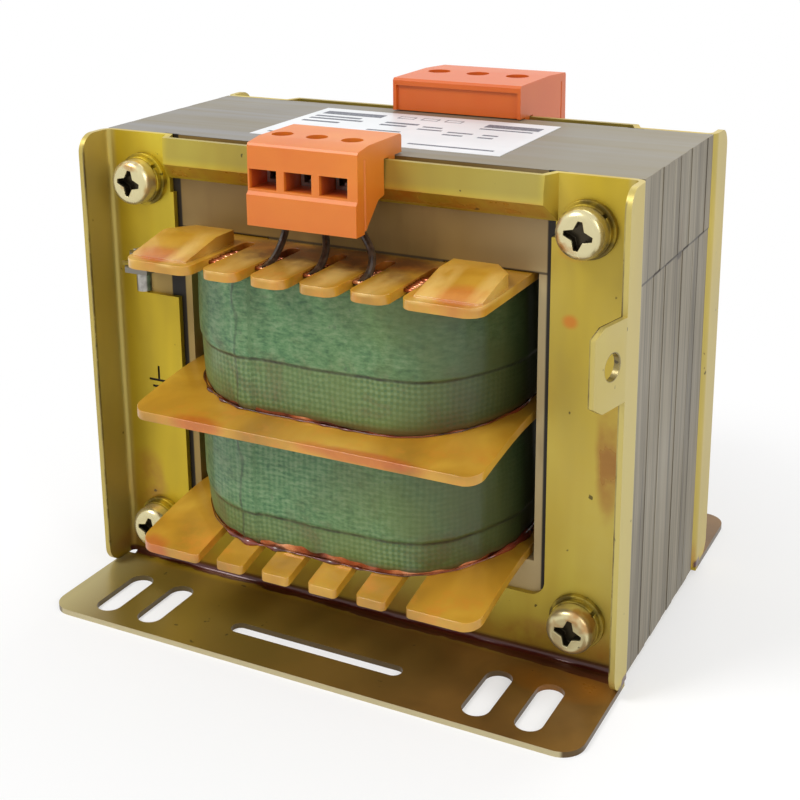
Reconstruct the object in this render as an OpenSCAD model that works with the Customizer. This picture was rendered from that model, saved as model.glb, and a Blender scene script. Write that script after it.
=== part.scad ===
// Laminated chassis transformer: a scrapless E-I stack held between two pressed steel foot
// frames, with a two-chamber bobbin and a three-pole terminal block on each frame's rail.
// X runs along the width, Y through the stack with the front towards -Y, Z up from the feet.

/* [Laminations] */
// Width of the centre leg, which sets every other size of the E and I sheets
leg_w = 50; // [46:1:56]
// Depth of the stack of sheets
stack_d = 58; // [50:1:66]
// Number of packets that the stack divides into
packets = 12; // [8:2:16]
// How far the sides of the packets differ
packet_step = 0.16; // [0.1:0.02:0.4]

/* [Frames] */
// Thickness of the frame's sheet steel
sheet_t = 1.5; // [1.2:0.1:2]
// Inner radius of the sheet's bends
bend_r = 1.5; // [1:0.1:2]
// How much wider each frame is than the core, on each side
frame_over = 0.75; // [0.4:0.05:1.2]
// Depth of the side flanges, from the core's face
flange_d = 12; // [10:0.5:14]
// Depth of the foot, from the core's face
foot_d = 37; // [34:0.5:42]
// Radius of the foot's outer corners
foot_r = 6; // [3:0.5:9]
// Width of the four short slots in each foot
slot_w = 7; // [5:0.2:8]
// Length of the four short slots
slot_l = 20.5; // [16:0.5:24]
// Spacing of the outer slots
slot_outer = 122; // [118:0.5:126]
// Spacing of the inner slots
slot_inner = 95; // [88:0.5:98]
// Length of the long slot at the middle of the foot
long_slot_l = 50; // [40:1:60]
// Width of the long slot
long_slot_w = 4.6; // [4.2:0.2:6]
// Width of the frame's two columns, from the core's edge to the window
column_w = 21.5; // [19:0.5:23]
// Height of the frame's lower beam
lower_beam = 16.5; // [14:0.5:20]
// Height of the frame's upper beam
upper_beam = 11.5; // [10:0.5:13]
// How far the rail stands off from the rest of the frame
joggle = 4.5; // [4:0.1:5]
// Length of the ear on one flange, past the flange
ear_l = 13.5; // [12:0.5:16]
// Height of the ear
ear_h = 20; // [18:0.5:24]
// How far the ear leans inward, in degrees
ear_lean = 12; // [6:1:16]
// Bore through the ear
ear_bore = 6.5; // [5:0.1:7.5]

/* [Clamp bolts] */
// Thread diameter of the clamp bolts
bolt_d = 6; // [5:0.5:6]
// Extra diameter of the holes for the bolts
bolt_play = 0.6; // [0.4:0.1:1]
// Diameter of the bolt's head
head_d = 12; // [10:0.1:12.4]
// Height of the bolt's head
head_h = 4.6; // [3.8:0.1:5]
// Diameter of the flat washers
washer_d = 14.2; // [12:0.1:14.4]
// Thickness of the flat washers and of the spring washers
washer_t = 1.5; // [1.2:0.1:1.8]
// Width of the nut across its flats
nut_af = 10; // [9:0.5:11]

/* [Bobbin] */
// Gap between the bobbin and the laminations
core_gap = 0.3; // [0.2:0.05:0.5]
// Play between the sides of the flanges and the outer legs
flange_gap = 1.6; // [1:0.1:2]
// Thickness of the bobbin's tube and flanges
bobbin_t = 2.4; // [2:0.1:2.8]
// How far the flanges stand out from the core's face
flange_out = 31.5; // [29:0.5:33]
// Drop of the middle flange at its outer edge
middle_droop = 4; // [1:0.5:5]
// Drop of the bottom flange at its outer edge
bottom_droop = 5; // [1:0.5:6]
// Spacing of the slots between the fingers
finger_pitch = 13.5; // [12:0.5:14]
// Width of the slots between the fingers of the top flange
finger_gap = 3.4; // [2.6:0.1:3.6]
// Width of the slots between the fingers of the bottom flange
lower_gap = 5.4; // [4.6:0.1:6]
// Radius of the fingers' tips on the top flange
tip_r = 3.2; // [2:0.1:3.4]
// Height of the raised pads on the ears of the top flange
pad_h = 3.4; // [2:0.1:4]

/* [Windings] */
// How far the taped windings stand out from the core's face
wind_out = 23; // [18:0.5:24]
// Radius of the windings' outer corners
wind_r = 29; // [20:0.5:30]
// Gap between a taped winding and the outer legs
wind_gap = 5; // [4:0.1:6]
// Thickness of the tape that is wound over each winding
tape_t = 0.6; // [0.4:0.1:0.9]

/* [Terminal blocks] */
// Pole spacing of the front block
front_pitch = 9.7; // [9.4:0.1:10]
// Pole spacing of the rear block
rear_pitch = 12.3; // [12:0.1:12.8]
// How far each block sits to the left of its frame's middle
block_shift = 2.8; // [0:0.1:4]

/* [Label] */
// Length of the rating label
label_l = 71.5; // [60:0.5:80]
// Width of the rating label
label_w = 42; // [34:0.5:44]

/* [Hidden] */
$fn = 48;
eps = 0.01;
seat = 0.3;          // gap at seats that aren't face to face
half_d = stack_d / 2;
yoke = leg_w / 2;    // width of the yokes and outer legs, and of the windows
core_w = 3 * leg_w;
e_h = 2 * leg_w;
core_h = e_h + yoke;
core_z = sheet_t;    // the core stands level with the top of the feet
core_top = core_z + core_h;
bolt_x = core_w / 2 - yoke / 2;
bolt_low = core_z + yoke / 2;
bolt_high = core_top - yoke / 2;
bolt_bore = bolt_d + bolt_play;
packet_t = stack_d / packets;

bend_o = bend_r + sheet_t;
frame_half = core_w / 2 + frame_over;
flat_half = frame_half - bend_o;
flange_z = sheet_t + 0.4;
win_z0 = core_z + lower_beam;
win_z1 = core_top - upper_beam;
window_w = core_w - 2 * column_w;
rail_run = 2;        // width of the ramps at the rail's ends
rail_half = bolt_x - washer_d / 2 - rail_run - 0.4;
rail_drop = 7;       // height of the rail's upright part
rail_lean = 0.35;    // how far the rail's top edge leans back
rail_lip = 4;        // height of that leaning edge
foot_half = frame_half - 0.25;
slot_y = 22.6;       // middle of the short slots, from the core's face
long_slot_y = 24;
ear_z = core_z + 0.61 * core_h;

tab_x0 = -bolt_x - 1.5;      // earth tab, which is turned forward out of its cut-out
tab_x1 = -bolt_x + 8;
tab_z = core_z + 0.728 * core_h;
tab_l = 13.5;
cut_z = core_z + 0.642 * core_h;
earth_x = -bolt_x + 3;
earth_y = 8.2;
earth_d = 4;

tube_w = leg_w + 2 * core_gap;
tube_d = stack_d + 2 * core_gap;
flange_half = leg_w / 2 + yoke - flange_gap;
flange_end = half_d + flange_out;
bob_z0 = core_z + yoke + core_gap;
bob_z1 = core_z + e_h - core_gap;
mid_z = (bob_z0 + bob_z1) / 2;
slot_from = half_d + 5;      // where the slots between the fingers begin

wind_half = leg_w / 2 + yoke - wind_gap;
wind_end = half_d + wind_out;
wind_fit = 0.15;

head_y = half_d + sheet_t + 2 * washer_t;
nut_y = half_d + sheet_t + washer_t;
nut_h = 5;
bolt_end = 2.5;      // how far the bolts stand out of their nuts
cross_l = 7;         // cross recess in the heads: its length, the width at its ends
cross_w = 1.1;       // and the half width between its arms
cross_c = 1.3;

// A block is [pitch, width, pole shift, depth, top, bottom, screw depth, screw bore,
// entry width, entry height, cage depth]; heights are from the top of the core.
front_block = [front_pitch, 3 * front_pitch + 1.1, -1.1, 20.5, 5, -16, 10, 5.4, 7.6, 4.8, 4.2];
rear_block = [rear_pitch, 3 * rear_pitch + 2.2, 0.7, 33, 9.5, -17, 14, 6.6, 9.6, 7, 5.6];
roof_back = 3;       // how far a block's roof reaches over the core
wall = 1;            // walls round a cage
roof_recess = 0.8;   // recess in the back of the roof
groove_w = 0.6;      // sides of the square that cuts the grooves
cage_t = 0.9;
cage_top = 1.6;      // thickness of a cage's tapped top
clamp_d = 3;         // thread of the clamp screws
clamp_l = 3;
clamp_head = 2;

function entry_top(b) = b[4] - 7.1;                  // top of a wire entry, from the core's top
function entry_low(b) = entry_top(b) - b[9];
function cage_back(b) = b[6] - b[10] / 2;
function pole_x(b, i) = b[2] + (i - 1) * b[0];

front_lead_d = 1.9;  // leads in their sleeves
rear_lead_d = 2.2;
tail_w = 2.4;
tail_t = 0.8;
tail_low = -17;      // foot of the solder tails, from the core's top

steel_grey = [0.62, 0.60, 0.56];
zinc_yellow = [0.74, 0.68, 0.30];
nylon_amber = [0.86, 0.70, 0.28];
tape_green = [0.36, 0.56, 0.41];
copper = [0.72, 0.40, 0.22];
block_orange = [0.94, 0.52, 0.22];
sleeve_black = [0.14, 0.12, 0.11];

// ---- shapes used by several pieces

// A square with its corner at p and the given size
module box2(p, s) {
    translate(p) square(s);
}

// A centred rectangle with round corners, in true arcs
module round_rect(w, h, r) {
    square([w, h - 2 * r], center = true);
    square([w - 2 * r, h], center = true);
    for (sx = [-1, 1], sy = [-1, 1])
        translate([sx * (w / 2 - r), sy * (h / 2 - r)]) circle(r);
}

// A slot with round ends along Y
module slot2(w, l) {
    square([w, l - w], center = true);
    for (s = [-1, 1]) translate([0, s * (l - w) / 2]) circle(d = w);
}

// A quarter of a ring about the origin, in the corner that sx and sy name
module quarter_ring(ri, ro, sx, sy) {
    intersection() {
        difference() {
            circle(ro);
            circle(ri);
        }
        translate([sx > 0 ? 0 : -ro, sy > 0 ? 0 : -ro]) square(ro);
    }
}

// Carries an outline drawn in (Y, Z) along X from x0 to x1
module along_x(x0, x1) {
    translate([x0, 0, 0]) rotate([90, 0, 90]) linear_extrude(x1 - x0) children();
}

// Carries an outline drawn in (X, Z) along Y from y0 to y1
module along_y(y0, y1) {
    translate([0, y1, 0]) rotate([90, 0, 0]) linear_extrude(y1 - y0) children();
}

// A cylinder along Y that starts at y0
module rod_y(x, y0, z, d, l) {
    translate([x, y0, z]) rotate([-90, 0, 0]) cylinder(d = d, h = l);
}

// The four bolt places
module at_bolts() {
    for (x = [-bolt_x, bolt_x], z = [bolt_low, bolt_high]) translate([x, 0, z]) children();
}

// ---- laminations

// Side step of packet i, which differs between the E and the I stack
function step_of(i, phase) = packet_step * (0.5 + 0.5 * sin(i * 137.5 + phase));

// Depth at which packet i begins, to a hundredth of a millimetre
function packet_y(i) = round(100 * (-half_d + i * packet_t)) / 100;

// Outline of one E sheet, with its sides set in by s
module e_outline(s) {
    difference() {
        translate([-core_w / 2 + s, core_z]) square([core_w - 2 * s, e_h]);
        for (x = [-leg_w / 2 - yoke, leg_w / 2])
            translate([x, core_z + yoke]) square([yoke, e_h]);
        for (x = [-bolt_x, bolt_x]) translate([x, bolt_low]) circle(d = bolt_bore);
    }
}

// Outline of one I sheet
module i_outline(s) {
    difference() {
        translate([-core_w / 2 + s, core_z + e_h]) square([core_w - 2 * s, yoke]);
        for (x = [-bolt_x, bolt_x]) translate([x, bolt_high]) circle(d = bolt_bore);
    }
}

module e_laminations() {
    color(steel_grey)
    for (i = [0:packets - 1])
        along_y(packet_y(i), packet_y(i + 1) + (i < packets - 1 ? eps : 0))
            e_outline(step_of(i, 20));
}

module i_laminations() {
    color(steel_grey)
    for (i = [0:packets - 1])
        along_y(packet_y(i), packet_y(i + 1) + (i < packets - 1 ? eps : 0))
            i_outline(step_of(i, 200));
}

// ---- frames

// Plate and side flanges as a U seen from above, open towards the front
module flange_plan(side) {
    mirror([side < 0 ? 1 : 0, 0]) {
        translate([flat_half, -half_d - bend_o]) quarter_ring(bend_r, bend_o, 1, 1);
        box2([frame_half - sheet_t, -half_d - flange_d], [sheet_t, flange_d - bend_o + eps]);
        box2([flat_half - 1, -half_d - sheet_t], [1 + eps, sheet_t]);
    }
}

// Side view of a flange, with its two outer corners round
module flange_side() {
    r = 5;
    h = core_top - flange_z;
    translate([-half_d - flange_d + (flange_d + r) / 2, flange_z + h / 2])
        round_rect(flange_d + r, h, r);
}

// Joggled rail: a pressed pan, which is an outer block less the same block set back
module rail_block(side_in, back) {
    w = rail_half - side_in;
    y0 = -half_d + back;
    z1 = core_top + (back > 0 ? 1 : 0);
    slope = joggle;
    drop = rail_drop - 0.6 * back / sheet_t;
    face = y0 - sheet_t - joggle;
    intersection() {
        translate([0, 0, win_z1 - 2]) linear_extrude(z1 - win_z1 + 2)
            polygon([[-w - rail_run, y0], [w + rail_run, y0], [w + rail_run, y0 - sheet_t],
                [w, face], [-w, face], [-w - rail_run, y0 - sheet_t]]);
        along_x(-core_w / 2, core_w / 2)
            polygon([[y0, z1], [y0, core_top - drop - slope],
                [y0 - sheet_t, core_top - drop - slope], [face, core_top - drop],
                [face, core_top - rail_lip], [face + rail_lean, core_top],
                [face + rail_lean, z1]]);
    }
}

module rail() {
    difference() {
        rail_block(0, 0);
        rail_block(1.2, sheet_t);
    }
}

// Foot seen from the side: the bend and the flat part
module foot_side() {
    translate([-half_d - bend_o, bend_o]) quarter_ring(bend_r, bend_o, 1, -1);
}

module foot_plan() {
    l = foot_d - bend_o + eps;
    difference() {
        union() {
            translate([0, -half_d - foot_d + l / 2]) round_rect(2 * foot_half, l, foot_r);
            box2([-foot_half, -half_d - foot_d + l / 2], [2 * foot_half, l / 2]);
        }
        for (s = [-1, 1], w = [slot_outer, slot_inner])
            translate([s * w / 2, -half_d - slot_y]) slot2(slot_w, slot_l);
        translate([0, -half_d - long_slot_y]) rotate(90) slot2(long_slot_w, long_slot_l);
    }
}

// Ear at the front of one flange, with its front corners cut off
module ear() {
    c = 3.8;
    translate([frame_half, -half_d - flange_d, ear_z]) rotate([0, 0, -ear_lean])
        translate([-sheet_t, 0, 0]) difference() {
            rotate([90, 0, 90]) linear_extrude(sheet_t)
                polygon([[0, 0], [-ear_l + c, 0], [-ear_l, 0.6 * c],
                    [-ear_l, ear_h - 0.5 * c], [-ear_l + c, ear_h], [0, ear_h]]);
            translate([-1, -6, ear_h / 2]) rotate([0, 90, 0])
                cylinder(d = ear_bore, h = sheet_t + 2);
        }
}

// Earth tab, turned forward out of the plate
module earth_tab() {
    difference() {
        intersection() {
            along_x(tab_x0, tab_x1) {
                translate([-half_d - sheet_t - bend_r, tab_z + bend_r])
                    quarter_ring(bend_r, bend_o, 1, -1);
                box2([-half_d - tab_l, tab_z - sheet_t],
                    [tab_l - sheet_t - bend_r + eps, sheet_t]);
            }
            translate([0, 0, tab_z - tab_l]) linear_extrude(2 * tab_l)
                polygon([[tab_x0, 0], [tab_x1, 0], [tab_x1, -half_d - tab_l],
                    [tab_x0 + 2.4, -half_d - tab_l], [tab_x0, -half_d - tab_l + 3]]);
        }
        translate([earth_x, -half_d - earth_y, tab_z - 5]) cylinder(d = earth_d + 0.2, h = 10);
    }
}

// Earth sign, stamped shallowly into the plate
module earth_sign() {
    d = 0.35;
    x = -bolt_x + 0.9;
    z = core_z + 0.44 * core_h;
    y = -half_d - sheet_t - 1;
    translate([x - 0.35, y, z]) cube([0.7, 1 + d, 4.2]);
    for (b = [[6.6, 0], [4.5, 1.9], [2.3, 3.8]])
        translate([x - b[0] / 2, y, z - b[1] - 0.35]) cube([b[0], 1 + d, 0.7]);
}

module frame() {
    difference() {
        union() {
            translate([-flat_half - eps, -half_d - sheet_t, bend_o - eps])
                cube([2 * flat_half + 2 * eps, sheet_t, core_top - bend_o + eps]);
            intersection() {
                translate([0, 0, flange_z]) linear_extrude(core_top - flange_z) {
                    flange_plan(1);
                    flange_plan(-1);
                }
                along_x(-core_w, core_w) flange_side();
            }
        }
        translate([0, -half_d - sheet_t / 2, (win_z0 + win_z1) / 2]) rotate([90, 0, 0])
            linear_extrude(2 * sheet_t, center = true)
                round_rect(window_w, win_z1 - win_z0, 4);
        translate([-rail_half - rail_run + 0.5, -half_d - 2 * sheet_t, win_z1 - 4])
            cube([2 * (rail_half + rail_run) - 1, 3 * sheet_t, upper_beam + 5]);
        translate([tab_x0, -half_d - 2 * sheet_t, cut_z])
            cube([tab_x1 - tab_x0 + 1.5, 3 * sheet_t, tab_z + bend_r - cut_z - eps]);
        at_bolts() rod_y(0, -half_d - 2 * sheet_t, 0, bolt_bore, 3 * sheet_t);
        earth_sign();
    }
    rail();
    earth_tab();
    along_x(-flat_half, flat_half) foot_side();
    linear_extrude(sheet_t) foot_plan();
    ear();
}

module front_frame() {
    color(zinc_yellow) frame();
}

module rear_frame() {
    color(zinc_yellow) rotate(180) frame();
}

// ---- bobbin and windings

// Share of a flange's drop at depth y: none over the core, all at the outer edge
function droop_at(y) = abs(y) <= half_d + 2 ? 0
    : pow((abs(y) - half_d - 2) / (flange_out - 2), 1.4);

// Depths at which the flanges' drop is worked out
depths = [for (k = [0:7]) -(flange_end - k * (flange_out - 2) / 7),
    for (k = [0:7]) flange_end - (7 - k) * (flange_out - 2) / 7];

// Side view between two heights that drop by a and b towards the outer edges
module sagging(z0, a, z1, b) {
    n = len(depths);
    polygon(concat([for (i = [0:n - 1]) [depths[i], z0 - a * droop_at(depths[i])]],
        [for (i = [0:n - 1]) [depths[n - 1 - i], z1 - b * droop_at(depths[n - 1 - i])]]));
}

module sagging_slab(z0, a, z1, b) {
    along_x(-core_w / 2, core_w / 2) sagging(z0, a, z1, b);
}

// Slot of width w between two fingers, whose tips have the radius r
module finger_slot(w, r) {
    translate([0, slot_from + flange_out / 2]) slot2(w, flange_out);
    difference() {
        translate([-w / 2 - r, flange_end - r]) square([w + 2 * r, r + 1]);
        for (s = [-1, 1])
            translate([s * (w / 2 + r), flange_end - r]) circle(r);
    }
}

// Plan of a flange, with slots of width w between fingers, or none where w is 0
module flange_outline(w, r) {
    difference() {
        round_rect(2 * flange_half, 2 * flange_end, 4.5);
        square([tube_w, tube_d], center = true);
        if (w > 0)
            for (a = [0, 180], i = [-2:2])
                rotate(a) translate([i * finger_pitch, 0]) finger_slot(w, r);
    }
}

module bobbin_flange(z, droop, w, r) {
    intersection() {
        sagging_slab(z, droop, z + bobbin_t, droop);
        linear_extrude(2 * core_h) flange_outline(w, r);
    }
}

// Raised pad on an ear of the top flange, which falls away towards the outer edge
module ear_pad(side) {
    y0 = half_d + sheet_t + joggle + 1;
    x0 = 2 * finger_pitch + 4;
    x1 = flange_half - 0.8;
    intersection() {
        linear_extrude(2 * core_h)
            polygon([[side * x0, -flange_end], [side * x0, -y0],
                [side * (x1 - 5), -y0], [side * x1, -y0 - 6], [side * x1, -flange_end + 4],
                [side * (x1 - 3), -flange_end]]);
        along_x(-core_w / 2, core_w / 2)
            polygon([[-y0, bob_z1 - eps], [-y0, bob_z1 + pad_h], [-y0 - 8, bob_z1 + pad_h],
                [-flange_end + 3, bob_z1 + 0.4], [-flange_end + 3, bob_z1 - eps]]);
    }
}

module bobbin() {
    color(nylon_amber) {
        difference() {
            union() {
                translate([0, 0, bob_z0]) linear_extrude(bob_z1 - bob_z0)
                    square([tube_w + 2 * bobbin_t, tube_d + 2 * bobbin_t], center = true);
                bobbin_flange(bob_z1 - bobbin_t, 0, finger_gap, tip_r);
                bobbin_flange(mid_z - bobbin_t / 2, middle_droop, 0, 0);
                bobbin_flange(bob_z0, bottom_droop, lower_gap, 1.2);
            }
            translate([0, 0, core_z]) linear_extrude(core_h)
                square([tube_w, tube_d], center = true);
        }
        for (s = [-1, 1]) {
            ear_pad(s);
            rotate(180) ear_pad(s);
        }
    }
}

// Outline of a winding, inset by s from the tape's outer face
module wind_outline(s) {
    round_rect(2 * (wind_half - s), 2 * (wind_end - s), wind_r - s);
}

// One winding's tape or copper, between two flanges
module wound(z0, a, z1, b, out_s, in_s) {
    intersection() {
        sagging_slab(z0 + wind_fit, a, z1 - wind_fit, b);
        linear_extrude(2 * core_h) difference() {
            wind_outline(out_s);
            if (in_s > 0) wind_outline(in_s);
            else square([tube_w + 2 * bobbin_t + 2 * wind_fit,
                tube_d + 2 * bobbin_t + 2 * wind_fit], center = true);
        }
    }
}

module upper_part(out_s, in_s) {
    wound(mid_z + bobbin_t / 2, middle_droop, bob_z1 - bobbin_t, 0, out_s, in_s);
}

module lower_part(out_s, in_s) {
    wound(bob_z0 + bobbin_t, bottom_droop, mid_z - bobbin_t / 2, middle_droop, out_s, in_s);
}

module upper_winding() {
    color(copper) upper_part(tape_t + 0.05, 0);
}

module lower_winding() {
    color(copper) lower_part(tape_t + 0.05, 0);
}

module upper_tape() {
    color(tape_green) upper_part(0, tape_t);
}

module lower_tape() {
    color(tape_green) lower_part(0, tape_t);
}

// ---- terminal blocks, drawn for the front, with depths measured forward from the core

// Places a child at depth d and height h from the core's top, for each pole
module at_poles(b) {
    for (i = [0:2])
        translate([-block_shift + pole_x(b, i), -half_d, core_top]) children();
}

// Side view of a housing: roof, front with a ledge, tapered underside and seat on the rail
module housing_side(b) {
    rail_y = sheet_t + joggle + seat;
    e = entry_low(b) - wall;
    polygon([[roof_back, seat], [roof_back, b[4] - 0.6], [roof_back - 0.6, b[4]],
        [-b[6] - b[7] / 2 - 1.2, b[4]], [-b[3] + 1.4, b[4] - 0.8], [-b[3] + 1, b[4] - 1.4],
        [-b[3] + 0.8, entry_low(b) - 0.6],
        [-b[3], entry_low(b) - 1.4], [-b[3], b[5]], [-b[3] * 0.8, b[5]],
        [-rail_y - 3, e - 1.2], [-rail_y, e - 0.6], [-rail_y, seat],
        [-sheet_t - joggle + sheet_t + 0.6, seat], [-joggle + 0.6, -6], [-0.6, -6],
        [-0.6, seat]]);
}

module housing(b) {
    difference() {
        translate([-block_shift, -half_d, core_top])
            along_x(-b[1] / 2, b[1] / 2) housing_side(b);
        translate([-block_shift - b[1] / 2 + wall, -half_d + roof_back - roof_recess, core_top])
            cube([b[1] - 2 * wall, roof_recess + 1, b[4] - 2]);
        // grooves down both sides
        for (s = [-1, 1])
            translate([-block_shift + s * b[1] / 2, -half_d - b[3] + 4.5, core_top + b[5]])
                rotate(45) translate([-groove_w / 2, -groove_w / 2, -1])
                    cube([groove_w, groove_w, b[4] - b[5] - 2]);
        at_poles(b) {
            // screw hole
            translate([0, -b[6], entry_top(b)]) cylinder(d = b[7], h = 20);
            // chamber for the cage
            translate([-b[8] / 2, -cage_back(b) - b[10] - seat, entry_low(b)])
                cube([b[8], b[10] + 2 * seat + tail_t + 0.2, b[9] + 1.2]);
            // wire entry
            translate([-b[8] / 2, -b[3] - 1, entry_low(b)])
                cube([b[8], b[3] - cage_back(b) - b[10] + 1, b[9]]);
            // way out for the solder tail
            translate([-tail_w / 2 - 0.2, -cage_back(b) + 0.1, b[5] - 1])
                cube([tail_w + 0.4, tail_t + 0.3, entry_top(b) - b[5]]);
        }
    }
}

// Clamp cage of one pole: a square tube, open to the wire, with a tapped top
module cage(b) {
    w = b[8] - 2 * seat;
    h = b[9] + 1.2 - seat;
    y = -cage_back(b) - b[10];
    difference() {
        translate([-w / 2, y, entry_low(b)]) cube([w, b[10], h]);
        translate([-w / 2 + cage_t, y - 1, entry_low(b) + cage_t])
            cube([w - 2 * cage_t, b[10] + 2, h - cage_t - cage_top]);
        translate([0, -b[6], entry_low(b)]) cylinder(d = clamp_d + 0.2, h = 2 * b[9]);
    }
}

// Slotted clamp screw of one pole, whose head rests on the cage
module clamp_screw(b) {
    z = entry_low(b) + b[9] + 1.2 - seat;
    translate([0, -b[6], 0]) difference() {
        union() {
            translate([0, 0, z]) cylinder(d = b[7] - 0.6, h = clamp_head);
            translate([0, 0, z - clamp_l]) cylinder(d = clamp_d, h = clamp_l + eps);
        }
        translate([-b[7], -cage_t / 2, z + clamp_head / 2])
            cube([2 * b[7], cage_t, clamp_head]);
    }
}

// Current bar of one pole, turned down into the solder tail
module tail(b) {
    z = entry_low(b) + cage_t + 0.05;
    y = -cage_back(b) + 0.25;
    translate([-tail_w / 2, y, tail_low]) cube([tail_w, tail_t, z + tail_t - tail_low]);
    translate([-tail_w / 2, y - b[10], z]) cube([tail_w, b[10] + eps, tail_t]);
}

module front_housing() {
    color(block_orange) housing(front_block);
}

module rear_housing() {
    color(block_orange) rotate(180) housing(rear_block);
}

module front_cages() {
    color("silver") at_poles(front_block) cage(front_block);
}

module rear_cages() {
    color("silver") rotate(180) at_poles(rear_block) cage(rear_block);
}

module front_screws() {
    color("silver") at_poles(front_block) clamp_screw(front_block);
}

module rear_screws() {
    color("silver") rotate(180) at_poles(rear_block) clamp_screw(rear_block);
}

module front_tails() {
    color("silver") at_poles(front_block) tail(front_block);
}

module rear_tails() {
    color("silver") rotate(180) at_poles(rear_block) tail(rear_block);
}

// Point at share t of the smooth curve that control points p pull
function curve(p, t) = len(p) == 1 ? p[0]
    : curve([for (i = [0:len(p) - 2]) (1 - t) * p[i] + t * p[i + 1]], t);

// Ring of a tube in the plane across direction d
function ring(c, d, r, n) = let (
        u = d / norm(d),
        s = cross(u, [0, 1, 0]) / norm(cross(u, [0, 1, 0])),
        v = cross(s, u))
    [for (k = [0:n - 1]) c + r * (cos(360 * k / n) * s + sin(360 * k / n) * v)];

// Round tube along such a curve
module curved_tube(p, r) {
    n = 10;
    m = 14;
    pts = [for (i = [0:m]) let (t = i / m, d = curve(p, min(1, t + 0.01))
        - curve(p, max(0, t - 0.01))) each ring(curve(p, t), d, r, n)];
    faces = concat([[for (k = [0:n - 1]) k]],
        [for (i = [0:m - 1], k = [0:n - 1]) [i * n + k, (i + 1) * n + k,
            (i + 1) * n + (k + 1) % n, i * n + (k + 1) % n]],
        [[for (k = [0:n - 1]) m * n + n - 1 - k]]);
    polyhedron(points = pts, faces = faces);
}

// Leads of one side: each comes out of the winding in a slot of the top flange, lies along
// the slot and then rises to the front of a solder tail
module leads(b, d) {
    y = -half_d - cage_back(b) + 0.25 - d / 2 - 0.1;
    z0 = bob_z1 - bobbin_t + d / 2 + 0.2;
    z1 = core_top + tail_low + 4;
    start_y = -half_d - wind_out + 1;
    for (i = [0:2]) {
        x0 = (i - 1) * finger_pitch;
        x1 = -block_shift + pole_x(b, i);
        curved_tube([[x0, start_y, z0], [x0, y - 4, z0], [x0, y - 2, z0 + 8],
            [x1, y, z1 - 7], [x1, y, z1]], d / 2);
    }
}

module front_leads() {
    color(sleeve_black) leads(front_block, front_lead_d);
}

module rear_leads() {
    color(sleeve_black) rotate(180) leads(rear_block, rear_lead_d);
}

// ---- fasteners

// Pan head that stands on z = 0, with its rim in a round arc
module pan_head(d, h) {
    r = 0.45 * h;
    rotate_extrude() {
        square([d / 2 - r, h]);
        square([d / 2, h - r]);
        translate([d / 2 - r, h - r]) intersection() {
            circle(r);
            square(r);
        }
    }
}

// Plan of a cross recess, wider towards its middle
module cross_plan() {
    polygon([for (a = [0:90:270], q = [[cross_l / 2, -cross_w / 2], [cross_l / 2, cross_w / 2],
        [cross_c, cross_c]]) [q[0] * cos(a) - q[1] * sin(a), q[0] * sin(a) + q[1] * cos(a)]]);
}

module clamp_bolts() {
    color(zinc_yellow) at_bolts() difference() {
        union() {
            translate([0, -head_y, 0]) rotate([90, 0, 0]) pan_head(head_d, head_h);
            rod_y(0, -head_y - eps, 0, bolt_d, head_y + nut_y + nut_h + bolt_end);
        }
        translate([0, -head_y - 0.4 * head_h, 0]) rotate([90, 8, 0])
            linear_extrude(head_h) cross_plan();
    }
}

// Split spring washer, squeezed flat
module spring_washers() {
    color(zinc_yellow) at_bolts() difference() {
        rod_y(0, -head_y, 0, head_d + 0.8, washer_t);
        rod_y(0, -head_y - 1, 0, bolt_d + 0.4, washer_t + 2);
        translate([0, -head_y - 1, -0.5]) rotate([0, -40, 0])
            cube([head_d, washer_t + 2, 1]);
    }
}

module washers(y) {
    at_bolts() difference() {
        rod_y(0, y, 0, washer_d, washer_t);
        rod_y(0, y - 1, 0, bolt_d + 0.4, washer_t + 2);
    }
}

module front_washers() {
    color(zinc_yellow) washers(-half_d - sheet_t - washer_t);
}

module rear_washers() {
    color(zinc_yellow) washers(half_d + sheet_t);
}

module clamp_nuts() {
    color(zinc_yellow) at_bolts() difference() {
        translate([0, nut_y, 0]) rotate([-90, 0, 0])
            cylinder(d = nut_af / cos(30), h = nut_h, $fn = 6);
        rod_y(0, nut_y - 1, 0, bolt_d + 0.1, nut_h + 2);
    }
}

// ---- label and earth screw

module rating_label() {
    color("white") translate([-label_l / 2, -half_d + 9, core_top])
        linear_extrude(0.12) square([label_l, label_w]);
}

module earth_screw() {
    z = tab_z + 1.2;
    color("silver") translate([earth_x, -half_d - earth_y, 0]) difference() {
        union() {
            translate([0, 0, z]) cylinder(d = 7, h = 2.2);
            translate([0, 0, z - 8.6]) cylinder(d = earth_d, h = 8.6 + eps);
        }
        translate([-5, -0.5, z + 1.1]) cube([10, 1, 2]);
    }
}

module earth_washer() {
    s = 8;
    color(zinc_yellow) translate([earth_x - s / 2, -half_d - earth_y - s / 2, tab_z])
        difference() {
            cube([s, s, 1.2]);
            translate([s / 2, s / 2, -1]) cylinder(d = earth_d + 0.3, h = 4);
        }
}

e_laminations();
i_laminations();
front_frame();
rear_frame();
bobbin();
upper_winding();
lower_winding();
upper_tape();
lower_tape();
front_housing();
rear_housing();
front_cages();
rear_cages();
front_screws();
rear_screws();
front_tails();
rear_tails();
front_leads();
rear_leads();
clamp_bolts();
spring_washers();
front_washers();
rear_washers();
clamp_nuts();
rating_label();
earth_screw();
earth_washer();
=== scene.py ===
import math

import bmesh
import bpy
import numpy as np
from mathutils import Matrix, Vector


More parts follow.
